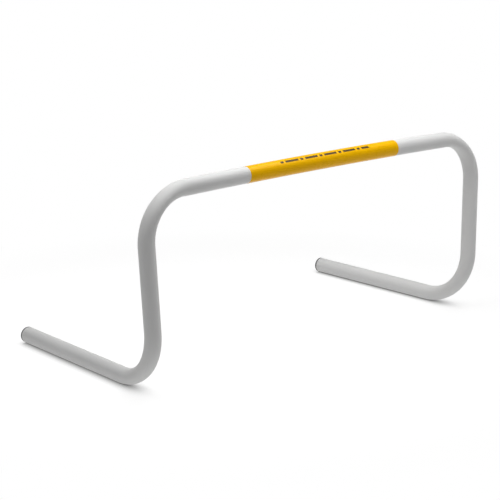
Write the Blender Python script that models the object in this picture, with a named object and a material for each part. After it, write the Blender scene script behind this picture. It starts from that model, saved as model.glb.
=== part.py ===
"""Mini hurdle: one plastic tube bent four times, with a wrap label on its bar and a ribbed plug in each foot.

The frame is in metres with +Z up. The bar runs along X, the feet point along +Y and rest on z = 0.
The tube is lofted ring by ring along half of its centre line, from a foot to the middle of the bar, then mirrored
and given its wall. Each bend flattens the tube in the plane of the bend and widens it across, as bending does.
"""

import math

import bmesh
import bpy
from mathutils import Matrix, Quaternion, Vector

MM = 0.001

# The tube
TUBE_DIAMETER = 25.0 * MM
TUBE_WALL = 1.5 * MM

# The centre line, as it would run if its bends were sharp corners
BAR_HEIGHT = 294.2 * MM                 # of the bar's two corners above the floor
BAR_RISE = math.radians(1.05)           # slope at which the bar leaves its bends, towards its crowned middle
BAR_SPAN = 692.0 * MM                   # between the bar's two corners
BAR_SETBACK = 9.6 * MM                  # how far the bar stands behind the heels
HEEL_SPAN = 668.0 * MM                  # between the heels, where the legs turn into the feet
TOE_SPAN = 643.0 * MM                   # between the ends of the feet, which turn in a little
FOOT_REACH = 341.0 * MM                 # from the heels back to the plugs' outer faces

# The bends
TOP_BEND_RADIUS = 72.0 * MM
HEEL_BEND_RADIUS = 82.0 * MM
TOP_BEND_FLATTENING = 0.20              # share of the diameter lost in the bend's plane, halfway round
HEEL_BEND_FLATTENING = 0.07
BEND_BULGE = 0.7                        # widening across the bend, as a share of the flattening

# The wrap label
LABEL_LENGTH = 311.0 * MM
LABEL_FILM = 0.3 * MM
LABEL_LAP = 7.0 * MM                    # strip where the film's two edges lie over each other
LABEL_LAP_FACING = Vector((0, 1, -1))   # the lap is turned away, to the back of the bar's underside

# The end plugs
PLUG_HEAD = 2.3 * MM                    # thickness of the head, which is as wide as the tube
PLUG_HEAD_ROUND = 0.8 * MM              # radius on the head's outer edge
PLUG_STEM = 27.0 * MM
PLUG_NOSE = 2.5 * MM                    # lead-in taper at the stem's tip
PLUG_RIBS = 4
PLUG_RIB_HEIGHT = 1.1 * MM
PLUG_RIB_LAND = 0.9 * MM                # flat top of a rib
PLUG_RIB_SLOPE = 1.8 * MM               # sloped side of a rib, towards the tip

# Between faces that touch on the real hurdle
SEAT_GAP = 0.3 * MM

# Facets
TUBE_SIDES = 24
BEND_STEP = math.radians(7.7)           # turn between two rings in a bend
BAR_STEP = 65.0 * MM                    # spacing of the rings along the bar
ROUND_STEPS = 3                         # facets of the radius on a plug's head
SHARP_EDGE = math.radians(35)
SEAM_MERGE = 0.00001

TUBE_RADIUS = TUBE_DIAMETER / 2
BORE_RADIUS = TUBE_RADIUS - TUBE_WALL
UP = Vector((0, 0, 1))


def clear_scene():
    """Remove every object that the scene starts with."""
    for obj in list(bpy.data.objects):
        bpy.data.objects.remove(obj, do_unlink=True)


def make_material(name, colour, roughness):
    """A plain Principled material for a plastic or a rubber."""
    material = bpy.data.materials.new(name)
    material.use_nodes = True
    shader = material.node_tree.nodes["Principled BSDF"]
    shader.inputs["Base Color"].default_value = (*colour, 1.0)
    shader.inputs["Roughness"].default_value = roughness
    shader.inputs["Metallic"].default_value = 0.0
    return material


def add_object(name, mesh, material):
    """Put a mesh in the scene under its name, shaded smooth between its sharp edges."""
    mesh.materials.append(material)
    obj = bpy.data.objects.new(name, mesh)
    bpy.context.scene.collection.objects.link(obj)
    mesh.shade_smooth()
    mesh.set_sharp_from_angle(angle=SHARP_EDGE)
    return obj


class Station:
    """A place on the centre line: its point, the way on, and how far a bend squeezes the tube there."""

    def __init__(self, centre, way, squeeze=0.0, axis=UP):
        self.centre = centre
        self.way = way
        self.squeeze = squeeze
        self.axis = axis
        self.side = None

    def spoke(self, angle):
        """The unit direction across the tube at an angle from the station's side direction."""
        return self.side * math.cos(angle) + self.way.cross(self.side) * math.sin(angle)

    def angle_of(self, direction):
        """The angle at which the spokes come closest to a direction."""
        return math.atan2(direction.dot(self.way.cross(self.side)), direction.dot(self.side))

    def point(self, angle, radius):
        """A point of the tube's section: a circle, squeezed in the bend's plane and widened across it."""
        arm = self.spoke(angle) * radius
        across = (self.axis - self.way * self.axis.dot(self.way)).normalized()
        inward = self.way.cross(across)
        arm -= inward * arm.dot(inward) * self.squeeze
        arm += across * arm.dot(across) * self.squeeze * BEND_BULGE
        return self.centre + arm


def foot_line():
    """The right foot's centre line: the middle of its plug's outer face, and the corner at the heel."""
    toe = Vector((TOE_SPAN / 2, FOOT_REACH, TUBE_RADIUS))
    heel = Vector((HEEL_SPAN / 2, 0, TUBE_RADIUS))
    return toe, heel


def cut_end():
    """The middle of the right foot's cut end, and the way out of it."""
    toe, heel = foot_line()
    out = (toe - heel).normalized()
    return toe - out * (PLUG_HEAD + SEAT_GAP), out


def bend_stations(before, corner, after, radius, flattening):
    """Stations round a bend of the centre line between two straight runs that meet at a corner."""
    way = (corner - before).normalized()
    turn = way.angle(after - corner)
    axis = way.cross(after - corner).normalized()
    start = corner - way * radius * math.tan(turn / 2)
    hub = start + axis.cross(way) * radius
    steps = max(2, math.ceil(turn / BEND_STEP))
    stations = []
    for step in range(steps + 1):
        share = step / steps
        spin = Quaternion(axis, turn * share)
        squeeze = flattening * math.sin(math.pi * share)
        stations.append(Station(hub + spin @ (start - hub), spin @ way, squeeze, axis))
    return stations


def bar_stations(bend_end, reach, way_in):
    """Stations along the crowned bar, evenly spaced from its middle out to a reach from it.

    The bar is a parabola that leaves the bend at bend_end with the bar's own slope and is level at x = 0.
    way_in is 1 where the stations run towards the middle, and -1 where they run out from it.
    """
    steps = max(2, round(reach / BAR_STEP))
    rise = math.tan(BAR_RISE) * bend_end.x / 2
    stations = []
    for step in range(steps + 1):
        x = reach * step / steps
        height = bend_end.z + rise * (1 - (x / bend_end.x) ** 2)
        way = Vector((-1, 0, math.tan(BAR_RISE) * x / bend_end.x)).normalized()
        stations.append(Station(Vector((x, bend_end.y, height)), way * way_in))
    return stations[::-1] if way_in > 0 else stations


def carry_side(stations, side):
    """Give each station its side direction, carried along the line without twisting."""
    way = stations[0].way
    for station in stations:
        side = way.rotation_difference(station.way) @ side
        station.side = (side - station.way * side.dot(station.way)).normalized()
        way = station.way


def half_line():
    """The stations of half the tube, from the right foot's cut end to the middle of the bar."""
    toe, heel = foot_line()
    end, out = cut_end()
    corner = Vector((BAR_SPAN / 2, BAR_SETBACK, BAR_HEIGHT))
    along_bar = corner + Vector((-math.cos(BAR_RISE), 0, math.sin(BAR_RISE)))
    stations = [Station(end, -out)]
    stations += bend_stations(toe, heel, corner, HEEL_BEND_RADIUS, HEEL_BEND_FLATTENING)
    stations += bend_stations(heel, corner, along_bar, TOP_BEND_RADIUS, TOP_BEND_FLATTENING)
    bend_end = stations[-1].centre
    stations += bar_stations(bend_end, bend_end.x, 1)[1:]
    carry_side(stations, UP)
    return stations, bend_end


def loft(bm, rings):
    """Join neighbouring rings of points with quads, and return the rings of vertices."""
    made = [[bm.verts.new(point) for point in ring] for ring in rings]
    for ring, next_ring in zip(made, made[1:]):
        bridge(bm, ring, next_ring)
    return made


def bridge(bm, ring, next_ring):
    """Join two closed rings of vertices with quads."""
    for index, vert in enumerate(ring):
        after = (index + 1) % len(ring)
        bm.faces.new((vert, ring[after], next_ring[after], next_ring[index]))


def mesh_of(bm, name):
    """Turn a bmesh into a mesh with that name."""
    mesh = bpy.data.meshes.new(name)
    bm.to_mesh(mesh)
    bm.free()
    return mesh


def mirror_across_middle(obj):
    """Mirror a half model across the middle of the bar and weld the seam."""
    mirror = obj.modifiers.new("other_half", "MIRROR")
    mirror.use_axis = (True, False, False)
    mirror.use_mirror_merge = True
    mirror.merge_threshold = SEAM_MERGE


def side_angles():
    """The angles of the tube's facet edges round its section."""
    return [2 * math.pi * side / TUBE_SIDES for side in range(TUBE_SIDES)]


def build_tube(stations):
    """The bent tube: half of its outer skin is lofted, mirrored, and thickened inwards."""
    bm = bmesh.new()
    loft(bm, [[s.point(angle, TUBE_RADIUS) for angle in side_angles()] for s in stations])
    white = make_material("white_tube", (0.78, 0.78, 0.78), 0.45)
    tube = add_object("hurdle_tube", mesh_of(bm, "hurdle_tube"), white)
    mirror_across_middle(tube)
    wall = tube.modifiers.new("wall", "SOLIDIFY")
    wall.thickness = TUBE_WALL
    wall.offset = -1
    wall.use_even_offset = True
    return tube


def facet_radius(angle, radius):
    """The distance from the axis to the flat of the tube's facets at an angle, for edges at that radius."""
    half_side = math.pi / TUBE_SIDES
    off_middle = angle % (2 * half_side) - half_side
    return radius * math.cos(half_side) / math.cos(off_middle)


def label_section(lap_middle):
    """The label's section as (angle, layers of film): one layer all round, and two on the lap."""
    radius = TUBE_RADIUS + SEAT_GAP
    half_lap = LABEL_LAP / 2 / radius
    edge_step = LABEL_FILM / radius
    section = [(angle % (2 * math.pi), 1) for angle in side_angles()]
    for sign in (-1, 1):
        edge = lap_middle + sign * half_lap
        section.append(((edge + sign * edge_step) % (2 * math.pi), 1))
        section.append((edge % (2 * math.pi), 2))
    section.sort()
    off_lap = [abs((angle - lap_middle + math.pi) % (2 * math.pi) - math.pi) for angle, _ in section]
    return [(angle, 2 if off < half_lap else layers) for (angle, layers), off in zip(section, off_lap)]


def build_label(middle, bend_end):
    """The wrap label: a thin sleeve that follows the crowned bar, of double film on its lap."""
    stations = bar_stations(bend_end, LABEL_LENGTH / 2, -1)
    carry_side(stations, middle.side)
    section = label_section(stations[0].angle_of(LABEL_LAP_FACING))
    inner_rings = []
    outer_rings = []
    for station in stations:
        inner_rings.append([])
        outer_rings.append([])
        for angle, layers in section:
            inner = facet_radius(angle, TUBE_RADIUS + SEAT_GAP)
            inner_rings[-1].append(station.point(angle, inner))
            outer_rings[-1].append(station.point(angle, inner + layers * LABEL_FILM))
    bm = bmesh.new()
    inner = loft(bm, inner_rings)
    outer = loft(bm, outer_rings)
    bridge(bm, inner[-1], outer[-1])
    bmesh.ops.recalc_face_normals(bm, faces=bm.faces)
    yellow = make_material("yellow_film", (0.95, 0.56, 0.0), 0.35)
    label = add_object("wrap_label", mesh_of(bm, "wrap_label"), yellow)
    mirror_across_middle(label)
    return label


def plug_profile():
    """Half of the plug's section as (radius, height) points, from the face of its head to its tip."""
    rib_radius = BORE_RADIUS - SEAT_GAP
    core_radius = rib_radius - PLUG_RIB_HEIGHT
    profile = [(0.0, PLUG_HEAD)]
    for step in range(ROUND_STEPS + 1):
        angle = math.pi / 2 * step / ROUND_STEPS
        radius = TUBE_RADIUS - PLUG_HEAD_ROUND * (1 - math.sin(angle))
        height = PLUG_HEAD - PLUG_HEAD_ROUND * (1 - math.cos(angle))
        profile.append((radius, height))
    profile.append((TUBE_RADIUS, 0.0))
    profile.append((core_radius, 0.0))
    pitch = (PLUG_STEM - PLUG_NOSE) / PLUG_RIBS
    for rib in range(PLUG_RIBS):
        foot = -pitch * (rib + 1)
        land = foot + PLUG_RIB_SLOPE
        profile.append((core_radius, land + PLUG_RIB_LAND))
        profile.append((rib_radius, land + PLUG_RIB_LAND))
        profile.append((rib_radius, land))
        profile.append((core_radius, foot))
    profile.append((core_radius - PLUG_NOSE / 2, -PLUG_STEM))
    profile.append((0.0, -PLUG_STEM))
    return profile


def build_plug(name, hand, material):
    """A ribbed plug turned about its axis and seated in a foot, on the right for hand 1 and the left for -1."""
    points = [(radius, 0.0, height) for radius, height in plug_profile()]
    edges = [(index, index + 1) for index in range(len(points) - 1)]
    mesh = bpy.data.meshes.new(name)
    mesh.from_pydata(points, edges, [])
    plug = add_object(name, mesh, material)
    turn = plug.modifiers.new("turn", "SCREW")
    turn.steps = TUBE_SIDES
    turn.render_steps = TUBE_SIDES
    turn.use_merge_vertices = True
    turn.merge_threshold = SEAM_MERGE
    end, out = cut_end()
    hurdle_hand = Matrix.Diagonal((hand, 1, 1))
    out = hurdle_hand @ out
    side = out.cross(UP).normalized()
    plug.rotation_euler = Matrix((side, out.cross(side), out)).transposed().to_euler()
    plug.location = hurdle_hand @ end + out * SEAT_GAP
    return plug


def world_box(objects):
    """The lowest and highest corners of the objects as they are built, modifiers included."""
    graph = bpy.context.evaluated_depsgraph_get()
    corners = []
    for obj in objects:
        made = obj.evaluated_get(graph)
        corners += [made.matrix_world @ Vector(corner) for corner in made.bound_box]
    low = Vector([min(corner[axis] for corner in corners) for axis in range(3)])
    high = Vector([max(corner[axis] for corner in corners) for axis in range(3)])
    return low, high


def stand_on_origin(pieces):
    """Hang the pieces on one empty, and move it so that they stand on z = 0, centred on the origin."""
    base = bpy.data.objects.new("hurdle", None)
    bpy.context.scene.collection.objects.link(base)
    for piece in pieces:
        piece.parent = base
    bpy.context.view_layer.update()
    low, high = world_box(pieces)
    base.location = (-(low.x + high.x) / 2, -(low.y + high.y) / 2, -low.z)


def main():
    clear_scene()
    stations, bend_end = half_line()
    tube = build_tube(stations)
    label = build_label(stations[-1], bend_end)
    rubber = make_material("black_rubber", (0.05, 0.05, 0.055), 0.7)
    right_plug = build_plug("right_end_plug", 1, rubber)
    left_plug = build_plug("left_end_plug", -1, rubber)
    stand_on_origin([tube, label, right_plug, left_plug])


main()
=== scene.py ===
# %% [markdown]
# # A mini hurdle
#
# The hurdle is one white plastic tube, bent four times, so that a single length makes the crossbar, both legs and
# both feet. A yellow film is wrapped round the bar, and a rubber plug closes each end of the tube.
#
# The imported model already holds those four pieces at their real size, with few faces. This lesson builds each piece
# again with a fine surface in the same place, gives it a finish made of shader nodes, and lights it like a product
# photograph. We start by loading the imported model, because each piece built below is compared with it.

# %% Load the imported model
import math

import bmesh
import bpy
from mathutils import Matrix, Quaternion, Vector


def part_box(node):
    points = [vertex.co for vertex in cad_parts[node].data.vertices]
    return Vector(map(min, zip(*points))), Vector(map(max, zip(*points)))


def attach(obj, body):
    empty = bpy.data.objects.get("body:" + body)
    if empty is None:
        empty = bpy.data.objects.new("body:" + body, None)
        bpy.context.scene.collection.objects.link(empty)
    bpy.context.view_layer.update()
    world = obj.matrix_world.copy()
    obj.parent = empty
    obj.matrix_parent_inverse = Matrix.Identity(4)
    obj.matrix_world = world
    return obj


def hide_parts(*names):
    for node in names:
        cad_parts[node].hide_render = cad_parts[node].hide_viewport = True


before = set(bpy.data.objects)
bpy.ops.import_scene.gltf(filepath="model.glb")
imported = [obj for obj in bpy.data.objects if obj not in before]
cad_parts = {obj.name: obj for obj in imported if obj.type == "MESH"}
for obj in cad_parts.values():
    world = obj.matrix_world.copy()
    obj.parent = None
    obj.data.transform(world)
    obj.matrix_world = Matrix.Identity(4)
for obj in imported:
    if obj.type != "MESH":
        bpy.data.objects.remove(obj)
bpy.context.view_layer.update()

MM = 0.001
print("Pieces in the packed model:", ", ".join(sorted(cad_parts)))

# %% [markdown]
# ## The centre line
#
# A bent tube is easiest to describe by its centre line, as a bender does: straight runs that would meet at sharp
# corners, and a radius at each corner. A Bezier curve could be drawn by hand instead, but its bends would be only
# nearly round. With corners and radii every bend is a true arc, and a size can be changed by itself.
#
# The corners below are those of the right half. The left half is its mirror image.

# %% Corners and bends of the right half
TUBE_RADIUS = 12.5 * MM
HEEL_Y = -165.947 * MM
TOE = Vector((321.5 * MM, HEEL_Y + 341.0 * MM, TUBE_RADIUS))
HEEL = Vector((334.0 * MM, HEEL_Y, TUBE_RADIUS))
BAR_CORNER = Vector((346.0 * MM, HEEL_Y + 9.6 * MM, 294.2 * MM))
BAR_RISE = math.radians(1.05)
ALONG_BAR = Vector((-math.cos(BAR_RISE), 0, math.sin(BAR_RISE)))

HEEL_BEND_RADIUS = 82.0 * MM
TOP_BEND_RADIUS = 72.0 * MM
BEND_STEP = math.radians(2.5)

plug_low, plug_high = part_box("right_end_plug")
plug_across = round((plug_high.z - plug_low.z) / MM, 2)
print("Tube across in mm, here and in the packed plug:", 2 * TUBE_RADIUS / MM, plug_across)

# %% [markdown]
# A tube that is bent goes oval: the bend squeezes it in its own plane and lets it bulge to the sides. The eye finds
# that at once on the top bends, where the outer side looks almost flat. So each station on the centre line carries
# how much it is squeezed, rising to the middle of a bend and falling again, and the axis that the bend turns about.

# %% Stations along a bend
HEEL_BEND_FLATTENING = 0.07
TOP_BEND_FLATTENING = 0.20
BEND_BULGE = 0.7


class Station:
    """A place on the centre line: its point, the way on, the bend's axis, and how far the bend squeezes it."""

    def __init__(self, centre, way, axis=Vector((0, 0, 1)), squeeze=0.0, in_bend=0.0):
        self.centre = centre
        self.way = way
        self.axis = axis
        self.squeeze = squeeze
        self.in_bend = in_bend
        self.side = None
        self.run = 0.0


def bend(before, corner, after, radius, flattening):
    """Stations round the arc that joins two straight runs meeting at a corner."""
    way = (corner - before).normalized()
    turn = way.angle(after - corner)
    axis = way.cross(after - corner).normalized()
    start = corner - way * radius * math.tan(turn / 2)
    hub = start + axis.cross(way) * radius
    steps = math.ceil(turn / BEND_STEP)
    stations = []
    for step in range(steps + 1):
        spin = Quaternion(axis, turn * step / steps)
        share = math.sin(math.pi * step / steps)
        stations.append(Station(hub + spin @ (start - hub), spin @ way, axis, flattening * share, share))
    return stations


heel_bend = bend(TOE, HEEL, BAR_CORNER, HEEL_BEND_RADIUS, HEEL_BEND_FLATTENING)
top_bend = bend(HEEL, BAR_CORNER, BAR_CORNER + ALONG_BAR, TOP_BEND_RADIUS, TOP_BEND_FLATTENING)
bend_end = top_bend[-1].centre
print("Stations in the heel bend and the top bend:", len(heel_bend), len(top_bend))

# %% [markdown]
# The bar isn't quite straight: it leaves each top bend rising by about a degree and crowns in the middle. A shallow
# parabola has that slope at its ends and is level at its middle. Straight runs get a station every few millimetres
# too, so that the faces stay near square and their finish has points to hang on.

# %% Stations along the straight runs and the crowned bar
RUN_STEP = 12.0 * MM
PLUG_HEAD = 2.3 * MM
SEAT_GAP = 0.3 * MM
FOOT_OUT = (TOE - HEEL).normalized()
CUT_END = TOE - FOOT_OUT * (PLUG_HEAD + SEAT_GAP)
END_CHAMFER = 0.45 * MM


def straight(start, end):
    """Evenly spaced stations between two points, without the points themselves."""
    steps = math.ceil((end - start).length / RUN_STEP)
    way = (end - start).normalized()
    return [Station(start.lerp(end, step / steps), way) for step in range(1, steps)]


def bar_station(x):
    """The station of the crowned bar at x, walked from right to left."""
    out = x / bend_end.x
    height = bend_end.z + math.tan(BAR_RISE) * bend_end.x / 2 * (1 - out * out)
    way = Vector((-1, 0, math.tan(BAR_RISE) * out)).normalized()
    return Station(Vector((x, bend_end.y, height)), way)


def foot_and_leg():
    """Stations from the right foot's cut end to the end of its top bend."""
    chamfered = CUT_END - FOOT_OUT * END_CHAMFER
    foot = [Station(CUT_END, -FOOT_OUT), Station(chamfered, -FOOT_OUT)]
    foot += straight(chamfered, heel_bend[0].centre)
    leg = straight(heel_bend[-1].centre, top_bend[0].centre)
    return foot + heel_bend + leg + top_bend


bar_steps = 2 * math.ceil(bend_end.x / RUN_STEP)
bar = [bar_station(bend_end.x * (1 - 2 * step / bar_steps)) for step in range(1, bar_steps)]
print("Crown of the bar in mm:", round((bar_station(0).centre.z - bend_end.z) / MM, 2))

# %% [markdown]
# The left half is the mirror image of the right, walked the other way. Then each station needs a direction across
# the tube to measure angles from. If that direction were always worked out from the world's up, it would spin round
# at the bends and twist the faces. Instead it is carried from station to station, turned only as much as the line.

# %% The whole line, with a side direction that never twists
def mirrored(station):
    """The same station on the left half, where the line is walked towards the foot."""
    centre = station.centre * Vector((-1, 1, 1))
    way = station.way * Vector((1, -1, -1))
    axis = station.axis * Vector((1, -1, -1))
    return Station(centre, way, axis, station.squeeze, station.in_bend)


def carry_side(stations, side):
    """Give each station its side direction and its distance along the line from the middle."""
    way = stations[0].way
    last = stations[0].centre
    run = 0.0
    for station in stations:
        side = way.rotation_difference(station.way) @ side
        side = (side - station.way * side.dot(station.way)).normalized()
        run += (station.centre - last).length
        way, last = station.way, station.centre
        station.side, station.run = side, run
    for station in stations:
        station.run -= run / 2
    return run


right_side = foot_and_leg()
line = right_side + bar + [mirrored(station) for station in reversed(right_side)]
tube_length = carry_side(line, Vector((0, 0, 1)))
print("Length of the tube before bending, in mm:", round(tube_length / MM))

# %% [markdown]
# ## The tube
#
# With the stations in place, the tube is a loft: a ring of points round each station, joined to the next ring by
# quads. A curve object with a bevel would be quicker, but it can't flatten at the bends. The real tube is hollow, so
# the rings run along the outside, turn over the cut end with a small chamfer, and come back through the bore.
#
# Each point also keeps where it was on the straight tube before bending: how far along, and how far out to each
# side. The finish reads that place, so its fine lines follow the tube round every bend.

# %% Rings and lofts
SHARP_EDGE = math.radians(30)


def ring(station, radius, sides):
    """Points round a station, each with its place on the straight tube and its share of the bend."""
    up = station.way.cross(station.side)
    across = (station.axis - station.way * station.axis.dot(station.way)).normalized()
    inward = station.way.cross(across)
    points = []
    for index in range(sides):
        angle = 2 * math.pi * index / sides
        place = Vector((station.run, math.cos(angle) * radius, math.sin(angle) * radius))
        arm = station.side * place.y + up * place.z
        arm -= inward * arm.dot(inward) * station.squeeze
        arm += across * arm.dot(across) * station.squeeze * BEND_BULGE
        points.append((station.centre + arm, place, station.in_bend))
    return points


def loft(name, rings):
    """An object with quads from each ring to the next, and from the last back to the first."""
    bm = bmesh.new()
    made = [[bm.verts.new(point) for point, _, _ in one] for one in rings]
    for first, second in zip(made, made[1:] + made[:1]):
        for index, vert in enumerate(first):
            after = (index + 1) % len(first)
            bm.faces.new((vert, first[after], second[after], second[index]))
    bmesh.ops.recalc_face_normals(bm, faces=bm.faces)
    mesh = bpy.data.meshes.new(name)
    bm.to_mesh(mesh)
    bm.free()
    points = [entry for one in rings for entry in one]
    unbent = mesh.attributes.new("unbent", "FLOAT_VECTOR", "POINT")
    unbent.data.foreach_set("vector", [value for _, place, _ in points for value in place])
    in_bend = mesh.attributes.new("in_bend", "FLOAT", "POINT")
    in_bend.data.foreach_set("value", [share for _, _, share in points])
    mesh.shade_smooth()
    mesh.set_sharp_from_angle(angle=SHARP_EDGE)
    obj = bpy.data.objects.new(name, mesh)
    bpy.context.scene.collection.objects.link(obj)
    return obj


def report_box(obj, node):
    """Print how far an object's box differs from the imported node's, in mm."""
    corners = [vert.co for vert in obj.data.vertices]
    low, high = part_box(node)
    under = [(min(c[axis] for c in corners) - low[axis]) / MM for axis in range(3)]
    over = [(max(c[axis] for c in corners) - high[axis]) / MM for axis in range(3)]
    print(obj.name, "differs from", node, "by", [round(value, 2) for value in under + over], "mm")

# %% [markdown]
# The only places that show the tube's wall are the thin gaps round the plugs. A solid bar would look the same from
# afar, but no plug could be seated in it. So there are two skins, one for the outside and one for the bore, joined
# at both ends into a single closed surface. A Solidify modifier would thicken a skin too, but not chamfer its end.

# %% Build the tube
TUBE_WALL = 1.5 * MM
TUBE_SIDES = 72


def skin(stations, radius, end_radius):
    """Rings along one surface of the tube, with another radius at its two ends."""
    rings = [ring(station, radius, TUBE_SIDES) for station in stations]
    rings[0] = ring(stations[0], end_radius, TUBE_SIDES)
    rings[-1] = ring(stations[-1], end_radius, TUBE_SIDES)
    return rings


outside = skin(line, TUBE_RADIUS, TUBE_RADIUS - END_CHAMFER)
bore_radius = TUBE_RADIUS - TUBE_WALL
bore = skin(line, bore_radius, bore_radius + END_CHAMFER)
tube = loft("bent_tube", outside + bore[::-1])
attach(tube, "root")
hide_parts("hurdle_tube")
report_box(tube, "hurdle_tube")

# %% [markdown]
# ## The wrap label
#
# The label is a plastic film, wrapped once round the bar and lapped over itself at the back of the underside. It
# follows the bar's crown. A copy of the tube's faces, pushed out a little, would do for most of it, but not for the
# lap. So the film gets a section of its own: one layer all round, a sharp step up where its outer edge ends, a strip
# of double film, and a short ramp where the film comes down off the layer below.

# %% The film's section
LABEL_LENGTH = 311.0 * MM
FILM_LIFT = 0.26 * MM
FILM_UNDERSIDE = 0.03 * MM
LAP_LIFT = 0.20 * MM
LAP_START = math.radians(209)
LAP_END = math.radians(241)
LAP_RAMP = math.radians(6)
LAP_EDGE = math.radians(0.3)
FILM_STEP = math.radians(2.5)


def film_lift(angle):
    """How far the film's face stands off the tube, at an angle from the bar's front over its top."""
    if angle < LAP_START or angle > LAP_END + LAP_RAMP:
        return FILM_LIFT
    down = max(0.0, (angle - LAP_END) / LAP_RAMP)
    return FILM_LIFT + LAP_LIFT * (1 - down * down * (3 - 2 * down))


film_angles = [FILM_STEP * step for step in range(round(2 * math.pi / FILM_STEP))]
film_angles += [LAP_START - LAP_EDGE, LAP_START, LAP_END, LAP_END + LAP_RAMP / 2]
film_angles.sort()


def film_ring(x, lift_of):
    """Points round the bar at x, each standing off the tube by its lift."""
    axis = bar_station(x).centre
    points = []
    for angle in film_angles:
        radius = TUBE_RADIUS + lift_of(angle)
        place = Vector((x, -math.cos(angle) * radius, math.sin(angle) * radius))
        points.append((Vector((x, axis.y + place.y, axis.z + place.z)), place, 0.0))
    return points


print("Points round the film:", len(film_ring(0.0, film_lift)))

# %% [markdown]
# The section is drawn at places along the bar and lofted like the tube. The film is thin, and a square edge on it
# would look like paint. The last ring at each end sits a little lower, which rounds the edge, so that the light
# shows where the film stops.

# %% Build the label
LABEL_STEP = 8.0 * MM
FILM_EDGE = 0.1 * MM


def build_label():
    """The film as a thin closed sleeve, with a slightly rounded edge at each end."""
    half = LABEL_LENGTH / 2
    steps = math.ceil((LABEL_LENGTH - 2 * FILM_EDGE) / LABEL_STEP)
    runs = [-half + FILM_EDGE + (LABEL_LENGTH - 2 * FILM_EDGE) * step / steps for step in range(steps + 1)]
    face = [film_ring(x, film_lift) for x in runs]
    left_edge = film_ring(-half, lambda angle: film_lift(angle) - FILM_EDGE)
    right_edge = film_ring(half, lambda angle: film_lift(angle) - FILM_EDGE)
    back = [film_ring(x, lambda angle: FILM_UNDERSIDE) for x in [half] + runs[::-1] + [-half]]
    return loft("film_wrap", [left_edge] + face + [right_edge] + back)


label = build_label()
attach(label, "root")
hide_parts("wrap_label")
report_box(label, "wrap_label")

# %% [markdown]
# ## The end plugs
#
# A plug is a moulded rubber bung: a flat head as wide as the tube, and a stem with ribs that are pushed into the
# bore and grip it. Both are round, so one half section is turned about the plug's axis. Only the head shows, so its
# edge is rounded in several steps, and its face has the small dimple that a mould's gate leaves.

# %% The plug's half section
HEAD_ROUND = 0.8 * MM
EDGE_CHAMFER = 0.15 * MM
STEM = 27.0 * MM
NOSE = 2.5 * MM
RIBS = 4
RIB_CLEARANCE = 0.1 * MM
RIB_HEIGHT = 1.3 * MM
RIB_LAND = 0.9 * MM
RIB_SLOPE = 1.8 * MM
GATE_RADIUS = 1.6 * MM
GATE_DEPTH = 0.35 * MM
ROUND_STEPS = 8
DIMPLE_STEPS = 6


def head_section():
    """Points (radius, height) from the middle of the head's face, over its rounded edge and under it."""
    points = [(0.0, PLUG_HEAD - GATE_DEPTH)]
    for step in range(1, DIMPLE_STEPS + 1):
        out = step / DIMPLE_STEPS
        points.append((GATE_RADIUS * out, PLUG_HEAD - GATE_DEPTH * (1 + math.cos(math.pi * out)) / 2))
    for step in range(ROUND_STEPS + 1):
        angle = math.pi / 2 * step / ROUND_STEPS
        radius = TUBE_RADIUS - HEAD_ROUND * (1 - math.sin(angle))
        points.append((radius, PLUG_HEAD - HEAD_ROUND * (1 - math.cos(angle))))
    return points + [(TUBE_RADIUS, EDGE_CHAMFER), (TUBE_RADIUS - EDGE_CHAMFER, 0.0)]


def stem_section():
    """Points (radius, height) down the ribbed stem to the middle of its tip."""
    rib = bore_radius - RIB_CLEARANCE
    core = rib - RIB_HEIGHT
    pitch = (STEM - NOSE) / RIBS
    points = [(core, 0.0)]
    for number in range(RIBS):
        foot = -pitch * (number + 1)
        land = foot + RIB_SLOPE
        top = land + RIB_LAND
        points += [(core, top), (rib - EDGE_CHAMFER, top), (rib, top - EDGE_CHAMFER), (rib, land), (core, foot)]
    return points + [(core - NOSE / 2, -STEM), (0.0, -STEM)]


print("Points in the plug's half section:", len(head_section() + stem_section()))

# %% [markdown]
# The half section is turned about the plug's axis: each of its points becomes a ring, and quads join ring to ring,
# as along the tube. A point on the axis stays a single point. Blender's spin would take fewer lines, but it lists
# the faces in another order on every run, and this way the mesh is the same each time.

# %% Turn a half section
PLUG_SIDES = 96


def turned(section):
    """A bmesh of a half section turned about the z axis, with a single point wherever it meets the axis."""
    bm = bmesh.new()
    turns = [2 * math.pi * side / PLUG_SIDES for side in range(PLUG_SIDES)]
    rings = []
    for radius, height in section:
        if radius == 0.0:
            rings.append([bm.verts.new((0.0, 0.0, height))] * PLUG_SIDES)
        else:
            rings.append([bm.verts.new((math.cos(turn) * radius, math.sin(turn) * radius, height)) for turn in turns])
    for first, second in zip(rings, rings[1:]):
        for side in range(PLUG_SIDES):
            after = (side + 1) % PLUG_SIDES
            # On the axis two of the corners are one point, and naming it once leaves a triangle.
            corners = dict.fromkeys((first[side], first[after], second[after], second[side]))
            bm.faces.new(tuple(corners))
    bmesh.ops.recalc_face_normals(bm, faces=bm.faces)
    return bm

# %% [markdown]
# The feet toe in a little, so the plugs do too. Both come from one function, which is told the hand: 1 for the right
# foot and -1 for the left. The plug's own place is stored before it is stood on the end of the foot, so that its
# finish is the same on both.

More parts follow.
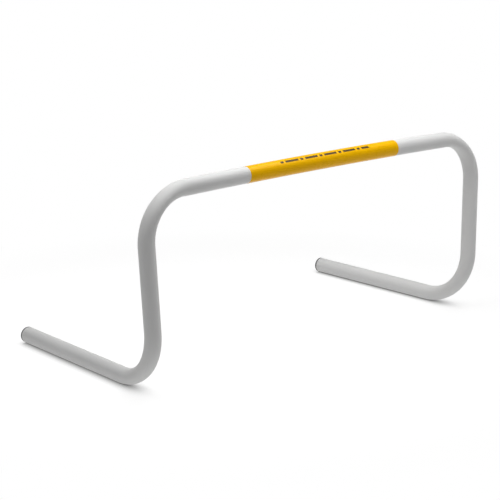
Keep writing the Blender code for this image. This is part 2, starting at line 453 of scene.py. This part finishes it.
# %% Seat the plugs
def build_plug(name, node, hand):
    """A plug turned about its axis, seated in the right foot for hand 1 and in the left for hand -1."""
    out = FOOT_OUT * Vector((hand, 1, 1))
    seat = CUT_END * Vector((hand, 1, 1)) + out * SEAT_GAP
    side = out.cross(Vector((0, 0, 1))).normalized()
    stand = Matrix((side, out.cross(side), out)).transposed()
    mesh = bpy.data.meshes.new(name)
    bm = turned(head_section() + stem_section())
    bm.to_mesh(mesh)
    bm.free()
    unbent = mesh.attributes.new("unbent", "FLOAT_VECTOR", "POINT")
    unbent.data.foreach_set("vector", [value for vert in mesh.vertices for value in vert.co.zxy])
    mesh.transform(Matrix.Translation(seat) @ stand.to_4x4())
    mesh.shade_smooth()
    mesh.set_sharp_from_angle(angle=SHARP_EDGE)
    plug = bpy.data.objects.new(name, mesh)
    bpy.context.scene.collection.objects.link(plug)
    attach(plug, "root")
    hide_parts(node)
    report_box(plug, node)
    return plug


right_plug = build_plug("right_foot_plug", "right_end_plug", 1)
left_plug = build_plug("left_foot_plug", "left_end_plug", -1)

# %% [markdown]
# ## Finishes
#
# Each finish is a tree of shader nodes that ends in one Principled shader. Writing a tree in Python takes many
# similar lines, so a few small helpers come first. One adds a node and sets or links its inputs. The others use it
# for the nodes that patterns are made of: Math, Noise, Mapping, Map Range and Mix.

# %% Helpers for shader nodes
def add(tree, kind, inputs=None, **settings):
    """Add a node with its settings, and with each input set to a value or linked to another node's output."""
    node = tree.nodes.new(kind)
    for name, value in settings.items():
        setattr(node, name, value)
    for name, value in (inputs or {}).items():
        if isinstance(value, bpy.types.NodeSocket):
            tree.links.new(value, node.inputs[name])
        else:
            node.inputs[name].default_value = value
    return node


def calc(tree, operation, *values):
    """The result of a Math node on numbers or on other nodes' outputs."""
    return add(tree, "ShaderNodeMath", dict(enumerate(values)), operation=operation).outputs[0]


def with_share(tree, value, extra, share):
    """A value with a share of another added to it, or taken away where the share is below 0."""
    return calc(tree, "ADD", value, calc(tree, "MULTIPLY", extra, share))


def noise(tree, place, scale, detail=2.0, roughness=0.5, distortion=0.0):
    """A noise from 0 to 1, with its patches about 1 / scale metres across."""
    sockets = {"Vector": place, "Scale": scale, "Detail": detail, "Roughness": roughness, "Distortion": distortion}
    return add(tree, "ShaderNodeTexNoise", sockets).outputs["Fac"]


def stretched(tree, place, scale):
    """A place scaled by a factor on each axis, which turns a round pattern into streaks."""
    return add(tree, "ShaderNodeMapping", {"Vector": place, "Scale": scale}).outputs["Vector"]


def ramp(tree, value, low, high, to_low=0.0, to_high=1.0):
    """A value mapped smoothly from one range to another, and held at the ends."""
    sockets = {"Value": value, "From Min": low, "From Max": high, "To Min": to_low, "To Max": to_high}
    return add(tree, "ShaderNodeMapRange", sockets, interpolation_type="SMOOTHSTEP").outputs["Result"]


def mix_colours(tree, share, first, second):
    """Two colours mixed by a share from 0 to 1."""
    # A Mix node has sockets for every kind of data. Inputs 6 and 7 are its two colours, and output 2 is their mix.
    return add(tree, "ShaderNodeMix", {0: share, 6: first, 7: second}, data_type="RGBA").outputs[2]

# %% [markdown]
# Some effects turn up in every finish here. No moulded or extruded plastic has quite the same tone all over, handled
# things carry fine scratches, and things that stand on the ground pick up a little dust. Each effect is a node
# group, built once. A material then uses it with values of its own, and a change to the group reaches them all.

# %% A maker of node groups
def new_group(name, inputs, outputs):
    """A node group with named sockets, and the sockets inside it that give its inputs and take its outputs."""
    group = bpy.data.node_groups.new(name, "ShaderNodeTree")
    for socket, kind in inputs.items():
        group.interface.new_socket(socket, in_out="INPUT", socket_type="NodeSocket" + kind)
    for socket, kind in outputs.items():
        group.interface.new_socket(socket, in_out="OUTPUT", socket_type="NodeSocket" + kind)
    return group, group.nodes.new("NodeGroupInput").outputs, group.nodes.new("NodeGroupOutput").inputs


def use_group(tree, group, inputs):
    """Place a node group in a material's tree, and return its outputs."""
    return add(tree, "ShaderNodeGroup", inputs, node_tree=group).outputs

# %% [markdown]
# Pigment and thickness drift a little over a hand's width of plastic, and a fine mottle lies on top of that. It
# could be painted, but only for one piece at a time. Here two noises, a broad one and a fine one, lighten and
# darken whatever colour comes in.

# %% Uneven tone
MOTTLE_FINENESS = 14.0
PATCH_SHARE = 0.7
MOTTLE_SHARE = 0.3


def build_uneven_tone():
    """Broad soft patches and fine mottle that lighten and darken a colour a little."""
    group, given, result = new_group(
        "uneven_tone",
        {"Place": "Vector", "Colour": "Color", "Patch Scale": "Float", "Strength": "Float"},
        {"Colour": "Color", "Mask": "Float"})
    broad = noise(group, given["Place"], given["Patch Scale"], detail=3.0)
    mottle = noise(group, given["Place"], calc(group, "MULTIPLY", given["Patch Scale"], MOTTLE_FINENESS))
    mask = with_share(group, calc(group, "MULTIPLY", broad, PATCH_SHARE), mottle, MOTTLE_SHARE)
    shift = calc(group, "MULTIPLY", calc(group, "SUBTRACT", mask, 0.5), given["Strength"])
    scaled = add(group, "ShaderNodeVectorMath", {0: given["Colour"]}, operation="SCALE")
    group.links.new(calc(group, "ADD", 1.0, shift), scaled.inputs["Scale"])
    group.links.new(scaled.outputs[0], result["Colour"])
    group.links.new(mask, result["Mask"])
    return group


uneven_tone = build_uneven_tone()
print("Group:", uneven_tone.name)

# %% [markdown]
# Scratches are thin and broken, and most run along the piece. A noise is exactly halfway between dark and light on
# thin winding lines, and when it is stretched along the piece, those lines make good scratches. A second set runs
# at an angle to the first, and slow patches leave most of the surface without any.

# %% Fine scratches
PATCH_SPREAD = 0.25
SCRATCHED_ABOVE = (0.52, 0.68)
SCRATCH_TURNS = ((0.0, 0.0, 0.0), (0.0, 0.35, 0.5))
SCRATCH_STRETCH = (0.06, 1.0, 1.0)
SCRATCH_WANDER = 0.4
SCRATCH_WIDTH = 0.012


def build_fine_scratches():
    """Thin broken scratches, most of them along the piece, as a mask."""
    group, given, result = new_group(
        "fine_scratches", {"Place": "Vector", "Spacing": "Float"}, {"Mask": "Float"})
    scale = calc(group, "DIVIDE", 1.0, given["Spacing"])
    slow = noise(group, given["Place"], calc(group, "MULTIPLY", scale, PATCH_SPREAD))
    patches = ramp(group, slow, *SCRATCHED_ABOVE)
    mask = 0.0
    for turn in SCRATCH_TURNS:
        sockets = {"Vector": given["Place"], "Rotation": turn, "Scale": SCRATCH_STRETCH}
        turned = add(group, "ShaderNodeMapping", sockets).outputs["Vector"]
        lines = noise(group, turned, scale, detail=1.0, distortion=SCRATCH_WANDER)
        off_line = calc(group, "ABSOLUTE", calc(group, "SUBTRACT", lines, 0.5))
        mask = calc(group, "MAXIMUM", mask, ramp(group, off_line, 0.0, SCRATCH_WIDTH, 1.0, 0.0))
    group.links.new(calc(group, "MULTIPLY", mask, patches), result["Mask"])
    return group


fine_scratches = build_fine_scratches()
print("Group:", fine_scratches.name)

# %% [markdown]
# A hurdle stands on hall floors and grass, and a little dust stays on its lowest centimetre. The height above the
# floor says where, and a cloudy noise breaks up the edge. This group reads where a point is now, not where it was
# on the straight tube, because dust knows only up and down.

# %% Dust from the ground
DUST_CLOUDS = {"scale": 160.0, "detail": 5.0, "roughness": 0.62}
DUSTY_ABOVE = (0.35, 0.75)


def build_ground_dust():
    """A dust colour that is strongest at the floor and fades out with height, broken up by noise."""
    group, given, result = new_group(
        "ground_dust",
        {"Colour": "Color", "Dust": "Color", "Reach": "Float", "Amount": "Float"},
        {"Colour": "Color", "Mask": "Float"})
    position = add(group, "ShaderNodeNewGeometry").outputs["Position"]
    height = add(group, "ShaderNodeSeparateXYZ", {"Vector": position}).outputs["Z"]
    low = calc(group, "SUBTRACT", 1.0, calc(group, "DIVIDE", height, given["Reach"]))
    low = add(group, "ShaderNodeClamp", {"Value": low}).outputs[0]
    clouds = ramp(group, noise(group, position, **DUST_CLOUDS), *DUSTY_ABOVE)
    mask = calc(group, "MULTIPLY", calc(group, "MULTIPLY", low, clouds), given["Amount"])
    group.links.new(mix_colours(group, mask, given["Colour"], given["Dust"]), result["Colour"])
    group.links.new(mask, result["Mask"])
    return group


ground_dust = build_ground_dust()
print("Group:", ground_dust.name)

# %% [markdown]
# Every material on the hurdle starts in the same way: a tree with its Principled shader, and an Attribute node that
# reads where each point was on the piece before it was bent or seated. All the patterns hang on that place.

# %% Start a material
def new_material(name):
    """A material with its tree, its Principled shader, and the place of each point on the unbent piece."""
    material = bpy.data.materials.new(name)
    material.use_nodes = True
    tree = material.node_tree
    place = add(tree, "ShaderNodeAttribute", attribute_name="unbent").outputs["Vector"]
    return material, tree, tree.nodes["Principled BSDF"].inputs, place

# %% [markdown]
# ## White tube plastic
#
# The tube is extruded, so its surface is smooth to the eye but has very faint lines drawn along its length. It was
# warmed and bent afterwards, which leaves each bend a touch paler and softer in its shine. A plain white Principled
# shader would look like a drawing of a tube. What makes it plastic is the uneven shine: the lines, a slow change in
# roughness, and a few scratches that only show where light glances off them.

# %% The tube's finish
TUBE_WHITE = (0.765, 0.765, 0.76, 1.0)
BEND_WHITE = (0.81, 0.81, 0.80, 1.0)
TUBE_SCUFF = (0.45, 0.45, 0.45, 1.0)
FLOOR_DUST = (0.42, 0.38, 0.32, 1.0)
TUBE_TONE = {"Patch Scale": 9.0, "Strength": 0.05}
TUBE_SCRATCH_SPACING = 7.0 * MM
TUBE_DUST = {"Reach": 12.0 * MM, "Amount": 0.16}
BEND_PALENESS = 0.25
TUBE_SCUFFING = 0.10
TUBE_GLOSS = 0.15
NOISE_RANGE = (0.3, 0.7)
TUBE_ROUGHNESS = (0.42, 0.50)
TUBE_DULLING = {"bend": 0.04, "scratch": 0.12, "dust": 0.6}
SHINE_DRIFT = {"stretch": (0.3, 1.0, 1.0), "scale": 60.0}
DRAW_LINES = {"stretch": (0.004, 1.0, 1.0), "scale": 1400.0, "height": 0.25}
TUBE_WAVE = 260.0
TUBE_SCRATCH_DEPTH = 0.5
TUBE_BUMP = {"Strength": 0.25, "Distance": 0.04 * MM}


def white_plastic():
    """Satin extruded plastic with draw lines, paler bends, fine scratches and a trace of dust at the floor."""
    material, tree, shader, place = new_material("white_tube_plastic")
    shader["Specular IOR Level"].default_value = TUBE_GLOSS
    in_bend = add(tree, "ShaderNodeAttribute", attribute_name="in_bend").outputs["Fac"]
    tone = use_group(tree, uneven_tone, {"Place": place, "Colour": TUBE_WHITE, **TUBE_TONE})
    paler = mix_colours(tree, calc(tree, "MULTIPLY", in_bend, BEND_PALENESS), tone["Colour"], BEND_WHITE)
    scratches = use_group(tree, fine_scratches, {"Place": place, "Spacing": TUBE_SCRATCH_SPACING})["Mask"]
    scuffed = mix_colours(tree, calc(tree, "MULTIPLY", scratches, TUBE_SCUFFING), paler, TUBE_SCUFF)
    dusty = use_group(tree, ground_dust, {"Colour": scuffed, "Dust": FLOOR_DUST, **TUBE_DUST})
    tree.links.new(dusty["Colour"], shader["Base Color"])

    drift = noise(tree, stretched(tree, place, SHINE_DRIFT["stretch"]), SHINE_DRIFT["scale"], detail=3.0)
    roughness = with_share(tree, ramp(tree, drift, *NOISE_RANGE, *TUBE_ROUGHNESS), in_bend, TUBE_DULLING["bend"])
    roughness = with_share(tree, roughness, scratches, TUBE_DULLING["scratch"])
    roughness = with_share(tree, roughness, dusty["Mask"], TUBE_DULLING["dust"])
    tree.links.new(roughness, shader["Roughness"])

    draw_lines = noise(tree, stretched(tree, place, DRAW_LINES["stretch"]), DRAW_LINES["scale"])
    height = with_share(tree, noise(tree, place, TUBE_WAVE), draw_lines, DRAW_LINES["height"])
    height = with_share(tree, height, scratches, -TUBE_SCRATCH_DEPTH)
    bump = add(tree, "ShaderNodeBump", {"Height": height, **TUBE_BUMP})
    tree.links.new(bump.outputs["Normal"], shader["Normal"])
    return material


tube.data.materials.append(white_plastic())
print("Tube finish:", tube.data.materials[0].name)

# %% [markdown]
# ## Yellow film
#
# The wrap is a yellow plastic film with a clear gloss. It is glossier than the tube, so its lower side picks up the
# pale floor and looks washed out there. Its gloss is set low and tinted like the film, because a white one would
# turn the yellow to cream wherever a lamp is reflected. The film isn't dead flat either: it lies on a layer of glue,
# which gives a slow ripple like orange peel. Near its top it carries one printed row of plain dashes, a simple guide
# mark. The row is drawn by arithmetic on the film's own place, along the bar and round it.

# %% The printed row of dashes
DASH_ROW = 186.0 * MM
DASH_PITCH = 40.0 * MM
SHORT_DASH = (0.0, 6.0 * MM)
LONG_DASH = (10.0 * MM, 36.0 * MM)
DASH_HEIGHT = 4.2 * MM
ROW_ANGLE = math.radians(56)
INK_EDGE = 0.15 * MM


def inside(tree, value, low, high):
    """1 where a value lies between two limits, with a soft edge as wide as the ink's."""
    above = ramp(tree, value, low - INK_EDGE, low + INK_EDGE)
    below = ramp(tree, value, high - INK_EDGE, high + INK_EDGE, 1.0, 0.0)
    return calc(tree, "MULTIPLY", above, below)


def dash_mask(tree, place):
    """1 on the printed dashes: short and long by turns, in one row along the bar."""
    spot = add(tree, "ShaderNodeSeparateXYZ", {"Vector": place}).outputs
    angle = calc(tree, "ARCTAN2", spot["Z"], calc(tree, "MULTIPLY", spot["Y"], -1.0))
    round_bar = calc(tree, "MULTIPLY", calc(tree, "SUBTRACT", angle, ROW_ANGLE), TUBE_RADIUS + FILM_LIFT)
    along = calc(tree, "ADD", spot["X"], DASH_ROW / 2)
    step = calc(tree, "MODULO", calc(tree, "ADD", along, DASH_PITCH), DASH_PITCH)
    dash = calc(tree, "MAXIMUM", inside(tree, step, *SHORT_DASH), inside(tree, step, *LONG_DASH))
    row = calc(tree, "MULTIPLY", inside(tree, round_bar, -DASH_HEIGHT / 2, DASH_HEIGHT / 2), dash)
    return calc(tree, "MULTIPLY", row, inside(tree, along, 0.0, DASH_ROW))


print("Dashes in mm, short and long:", [round((end - start) / MM, 1) for start, end in (SHORT_DASH, LONG_DASH)])

# %% [markdown]
# With the dashes as a mask, the finish is built up in the order of the real layers: yellow film, paler at its ends
# where hands have rubbed it, and then the ink, worn thinner under the scratches. Ink lies on top of the film, so it
# also stands a little higher in the bump.

# %% The film's finish
FILM_YELLOW = (1.0, 0.53, 0.0, 1.0)
FILM_SHEEN = (1.0, 0.60, 0.0, 1.0)
RUBBED_YELLOW = (0.92, 0.70, 0.22, 1.0)
DASH_INK = (0.035, 0.03, 0.025, 1.0)
FILM_TONE = {"Patch Scale": 22.0, "Strength": 0.03}
FILM_SCRATCH_SPACING = 6.0 * MM
RUBBED_LENGTH = 3.0 * MM
RUBBED_ABOVE = (0.45, 0.7)
RUBBED_GRAIN = 700.0
RUBBING = 0.25
INK_COVER = 0.96
INK_WEAR = 0.5
FILM_GLOSS = 0.22
FILM_ROUGHNESS = (0.26, 0.34)
FILM_DULLING = {"scratch": 0.15, "rubbed": 0.12}
FILM_DRIFT = 90.0
GLUE_RIPPLE = {"stretch": (0.5, 1.0, 1.0), "scale": 180.0}
INK_HEIGHT = 0.2
FILM_SCRATCH_DEPTH = 0.2
FILM_BUMP = {"Strength": 0.15, "Distance": 0.06 * MM}


def yellow_film():
    """Glossy yellow film with a glue ripple, a printed row of dashes, handling scratches and rubbed ends."""
    material, tree, shader, place = new_material("yellow_wrap_film")
    shader["Specular IOR Level"].default_value = FILM_GLOSS
    shader["Specular Tint"].default_value = FILM_SHEEN
    tone = use_group(tree, uneven_tone, {"Place": place, "Colour": FILM_YELLOW, **FILM_TONE})
    scratches = use_group(tree, fine_scratches, {"Place": place, "Spacing": FILM_SCRATCH_SPACING})["Mask"]
    from_middle = calc(tree, "ABSOLUTE", add(tree, "ShaderNodeSeparateXYZ", {"Vector": place}).outputs["X"])
    at_end = ramp(tree, from_middle, LABEL_LENGTH / 2 - RUBBED_LENGTH, LABEL_LENGTH / 2)
    rubbed = calc(tree, "MULTIPLY", at_end, ramp(tree, noise(tree, place, RUBBED_GRAIN, detail=3.0), *RUBBED_ABOVE))
    paler = mix_colours(tree, calc(tree, "MULTIPLY", rubbed, RUBBING), tone["Colour"], RUBBED_YELLOW)
    ink = dash_mask(tree, place)
    worn_ink = calc(tree, "MULTIPLY", ink, with_share(tree, INK_COVER, scratches, -INK_WEAR))
    tree.links.new(mix_colours(tree, worn_ink, paler, DASH_INK), shader["Base Color"])

    drift = ramp(tree, noise(tree, place, FILM_DRIFT, detail=3.0), *NOISE_RANGE, *FILM_ROUGHNESS)
    roughness = with_share(tree, drift, scratches, FILM_DULLING["scratch"])
    roughness = with_share(tree, roughness, rubbed, FILM_DULLING["rubbed"])
    tree.links.new(roughness, shader["Roughness"])

    ripple = noise(tree, stretched(tree, place, GLUE_RIPPLE["stretch"]), GLUE_RIPPLE["scale"])
    height = with_share(tree, with_share(tree, ripple, ink, INK_HEIGHT), scratches, -FILM_SCRATCH_DEPTH)
    bump = add(tree, "ShaderNodeBump", {"Height": height, **FILM_BUMP})
    tree.links.new(bump.outputs["Normal"], shader["Normal"])
    return material


label.data.materials.append(yellow_film())
print("Label finish:", label.data.materials[0].name)

# %% [markdown]
# ## Black rubber
#
# The plugs are matt moulded rubber. Real rubber is never a pure black: it is a very dark grey, paler where it has
# been handled, with a fine grain from the mould and dust near the floor. A high roughness gives the dull sheen.

# %% The plugs' finish
RUBBER_BLACK = (0.045, 0.045, 0.05, 1.0)
RUBBER_SCUFF = (0.16, 0.16, 0.16, 1.0)
RUBBER_TONE = {"Patch Scale": 140.0, "Strength": 0.9}
RUBBER_SCRATCH_SPACING = 3.0 * MM
RUBBER_DUST = {"Reach": 10.0 * MM, "Amount": 0.35}
RUBBER_SCUFFING = 0.3
RUBBER_ROUGHNESS = (0.60, 0.74)
RUBBER_DULLING = 0.3
MOULD_GRAIN = 2600.0
RUBBER_SCRATCH_DEPTH = 0.4
RUBBER_BUMP = {"Strength": 0.4, "Distance": 0.06 * MM}


def black_rubber():
    """Matt moulded rubber with a fine grain, paler patches, scratches and floor dust."""
    material, tree, shader, place = new_material("black_plug_rubber")
    tone = use_group(tree, uneven_tone, {"Place": place, "Colour": RUBBER_BLACK, **RUBBER_TONE})
    scratches = use_group(tree, fine_scratches, {"Place": place, "Spacing": RUBBER_SCRATCH_SPACING})["Mask"]
    scuffed = mix_colours(tree, calc(tree, "MULTIPLY", scratches, RUBBER_SCUFFING), tone["Colour"], RUBBER_SCUFF)
    dusty = use_group(tree, ground_dust, {"Colour": scuffed, "Dust": FLOOR_DUST, **RUBBER_DUST})
    tree.links.new(dusty["Colour"], shader["Base Color"])
    roughness = ramp(tree, tone["Mask"], *NOISE_RANGE, *RUBBER_ROUGHNESS)
    tree.links.new(with_share(tree, roughness, dusty["Mask"], RUBBER_DULLING), shader["Roughness"])
    height = with_share(tree, noise(tree, place, MOULD_GRAIN), scratches, -RUBBER_SCRATCH_DEPTH)
    bump = add(tree, "ShaderNodeBump", {"Height": height, **RUBBER_BUMP})
    tree.links.new(bump.outputs["Normal"], shader["Normal"])
    return material


rubber = black_rubber()
for plug in (right_plug, left_plug):
    plug.data.materials.append(rubber)
print("Plug finish:", rubber.name)

# %% [markdown]
# ## The floor
#
# In the photograph the table is plain white right up to a narrow soft shadow under each foot. More lamp would make a
# floor white too, but it would burn out the hurdle first. Instead the floor is told what to look like: Light Path
# knows which rays come from the camera, off a gloss or through glass, and to those it is white paper. To the light
# that bounces up under the tube, it is a grey table. Both are matt with a glow of their own, so one helper makes
# either of them.

# %% Helpers for the floor
WHITE = (1.0, 1.0, 1.0, 1.0)


def seen_directly(tree):
    """1 for rays from the camera, off a gloss or through glass, and 0 for light that bounces off matt surfaces."""
    path = add(tree, "ShaderNodeLightPath").outputs
    seen = calc(tree, "MAXIMUM", path["Is Camera Ray"], path["Is Glossy Ray"])
    return calc(tree, "MAXIMUM", seen, path["Is Transmission Ray"])


def mix_shaders(tree, share, first, second):
    """Two shaders mixed by a share from 0 to 1."""
    return add(tree, "ShaderNodeMixShader", {0: share, 1: first, 2: second}).outputs[0]


def glowing(tree, colour, strength):
    """A matt surface that also glows a little from within."""
    matt = add(tree, "ShaderNodeBsdfDiffuse", {"Color": colour}).outputs[0]
    glow = add(tree, "ShaderNodeEmission", {"Color": WHITE, "Strength": strength}).outputs[0]
    return add(tree, "ShaderNodeAddShader", {0: matt, 1: glow}).outputs[0]

# %% [markdown]
# The paper is mostly a glow, with a share of real lamp light, and the two add up to just white. Any brighter, and
# the white would eat into the edges of the tube. The lamps light one side more, so the paper's tone slopes the other
# way. The shadow comes mainly from an Ambient Occlusion node, which tells how much of the sky each spot can see.
# About half a metre out the paper turns into plain white, so no edge shows.

# %% Build the floor
FLOOR_SIZE = 30.0
TABLE_COLOUR = (0.30, 0.30, 0.30, 1.0)
TABLE_GLOW = (0.47, 0.31)
GLOW_REACH = (0.45, 0.65)
PAPER_COLOUR = 0.32
PAPER_GLOW = 0.78
LIGHT_SLOPE = (0.274, -0.186, 0.0)
PAPER_REACH = (0.44, 0.7)
SKY_REACH = 0.1
DARKEST = 0.02
SHADE_RISE = 1.23
SHADE_POWER = 0.87


def white_floor():
    """White paper with a soft shadow to the camera, and a grey glowing table to the light that bounces off it."""
    material = bpy.data.materials.new("white_floor")
    material.use_nodes = True
    tree = material.node_tree
    tree.nodes.remove(tree.nodes["Principled BSDF"])
    position = add(tree, "ShaderNodeNewGeometry").outputs["Position"]
    distance = add(tree, "ShaderNodeVectorMath", {0: position}, operation="LENGTH").outputs["Value"]
    white = add(tree, "ShaderNodeEmission", {"Color": WHITE, "Strength": 1.0}).outputs[0]
    open_sky = add(tree, "ShaderNodeAmbientOcclusion", {"Distance": SKY_REACH}).outputs["AO"]
    shade = calc(tree, "MULTIPLY_ADD", calc(tree, "POWER", open_sky, SHADE_POWER), SHADE_RISE, DARKEST)
    shade = calc(tree, "MINIMUM", shade, 1.0)
    slope = add(tree, "ShaderNodeVectorMath", {0: position, 1: LIGHT_SLOPE}, operation="DOT_PRODUCT").outputs["Value"]
    even = calc(tree, "DIVIDE", PAPER_COLOUR, calc(tree, "ADD", slope, 1.0))
    paper = glowing(tree, calc(tree, "MULTIPLY", shade, even), calc(tree, "MULTIPLY", shade, PAPER_GLOW))
    shown = mix_shaders(tree, ramp(tree, distance, *PAPER_REACH), paper, white)
    table_glow = ramp(tree, distance, *GLOW_REACH, *TABLE_GLOW)
    surface = mix_shaders(tree, seen_directly(tree), glowing(tree, TABLE_COLOUR, table_glow), shown)
    tree.links.new(surface, tree.nodes["Material Output"].inputs["Surface"])
    return material


half = FLOOR_SIZE / 2
floor_mesh = bpy.data.meshes.new("floor")
floor_mesh.from_pydata([(-half, -half, 0), (half, -half, 0), (half, half, 0), (-half, half, 0)], [], [(0, 1, 2, 3)])
floor_mesh.materials.append(white_floor())
floor = bpy.data.objects.new("floor", floor_mesh)
bpy.context.scene.collection.objects.link(floor)
print("Floor size in m:", FLOOR_SIZE)

# %% [markdown]
# ## Light
#
# The tube is lit as a product photographer lights pale things: by large soft boxes from above, so that its top is
# pale and its sides roll off evenly to grey. A wide box to the front right gives the most light, and a long one
# hangs right over the bar. Two small ones hang lower, because a near lamp falls off fast: they lift the bar and leave
# the legs alone. The last two, from the left and the front, open up the shaded sides. None is so strong that a side
# of the tube burns out, from whichever side it is seen.

# %% Hang the lamps
LAMPS = {
    "wide_box": {"at": (0.5, -0.4, 1.3), "aim": (0.5, -0.4, 0.0), "size": (1.0, 1.0), "power": 8.2},
    "long_box": {"at": (0.0, 0.0, 1.2), "aim": (0.0, 0.0, 0.0), "size": (1.5, 0.7), "power": 3.2},
    "low_box": {"at": (0.0, 0.0, 0.75), "aim": (0.0, 0.0, 0.0), "size": (0.4, 0.4), "power": 0.73},
    "low_left_box": {"at": (-0.35, 0.0, 0.75), "aim": (-0.35, 0.0, 0.0), "size": (0.4, 0.4), "power": 0.88},
    "left_box": {"at": (-1.5, 0.0, 1.5), "aim": (0.0, 0.0, 0.15), "size": (0.8, 0.8), "power": 4.0},
    "front_box": {"at": (0.5, -1.0, 1.0), "aim": (0.15, -0.2, 0.1), "size": (0.7, 0.7), "power": 1.3},
}


def hang_lamp(name, at, aim, size, power):
    """A rectangular soft box at a place, aimed at a point."""
    lamp = bpy.data.lights.new(name, "AREA")
    lamp.shape = "RECTANGLE"
    lamp.size, lamp.size_y = size
    lamp.energy = power
    obj = bpy.data.objects.new(name, lamp)
    obj.location = at
    obj.rotation_euler = (Vector(aim) - Vector(at)).to_track_quat("-Z", "Y").to_euler()
    bpy.context.scene.collection.objects.link(obj)


for name, settings in LAMPS.items():
    hang_lamp(name, **settings)
print("Lamps:", ", ".join(LAMPS))

# %% [markdown]
# What surrounds the hurdle is the world. A plain white world would do for the camera, but its light would flatten
# the tube, and its reflection would wash out the film. So Light Path splits it: white to the camera, weak as light,
# and to reflections white near the horizon with a dim ceiling above, as in a studio.

# %% The white surround
WORLD_LIGHT = 0.085
CEILING_RISE = (0.0, 0.3)
CEILING_WHITE = 0.05


def white_surround():
    """A world that is white to the camera, has a dim ceiling to reflections, and gives a weak even light."""
    world = bpy.data.worlds.new("white_surround")
    world.use_nodes = True
    tree = world.node_tree
    direction = add(tree, "ShaderNodeTexCoord").outputs["Generated"]
    upward = add(tree, "ShaderNodeSeparateXYZ", {"Vector": direction}).outputs["Z"]
    reflected = ramp(tree, upward, *CEILING_RISE, 1.0, CEILING_WHITE)
    rays = add(tree, "ShaderNodeLightPath").outputs
    seen = calc(tree, "MAXIMUM", rays["Is Camera Ray"], rays["Is Transmission Ray"])
    strength = ramp(tree, seen, 0.0, 1.0, WORLD_LIGHT, 1.0)
    difference = calc(tree, "SUBTRACT", reflected, strength)
    strength = calc(tree, "MULTIPLY_ADD", rays["Is Glossy Ray"], difference, strength)
    background = tree.nodes["Background"].inputs
    background["Color"].default_value = WHITE
    tree.links.new(strength, background["Strength"])
    return world


bpy.context.scene.world = white_surround()
print("Surround:", bpy.context.scene.world.name)

# %% [markdown]
# ## Camera
#
# The camera's place and lens were worked out from the photograph: with a long lens from some way off, the two legs
# stay nearly parallel. Its angles are a turn about the vertical and a tilt down.

# %% Place the camera
CAMERA_AT = Vector((-1.72176, -1.91073, 0.78766))
CAMERA_TURN = math.radians(41.9084)
CAMERA_TILT = math.radians(14.3835)
LENS_IN_MM = 118.755
SENSOR_IN_MM = 36.0

lens = bpy.data.cameras.new("camera")
lens.lens = LENS_IN_MM
lens.sensor_width = SENSOR_IN_MM
camera = bpy.data.objects.new("camera", lens)
camera.location = CAMERA_AT
camera.rotation_euler = (math.pi / 2 - CAMERA_TILT, 0.0, -CAMERA_TURN)
bpy.context.scene.collection.objects.link(camera)
bpy.context.scene.camera = camera
bpy.context.scene.view_settings.view_transform = "Standard"
print("Camera to the hurdle's middle in m:", round(CAMERA_AT.length, 2))
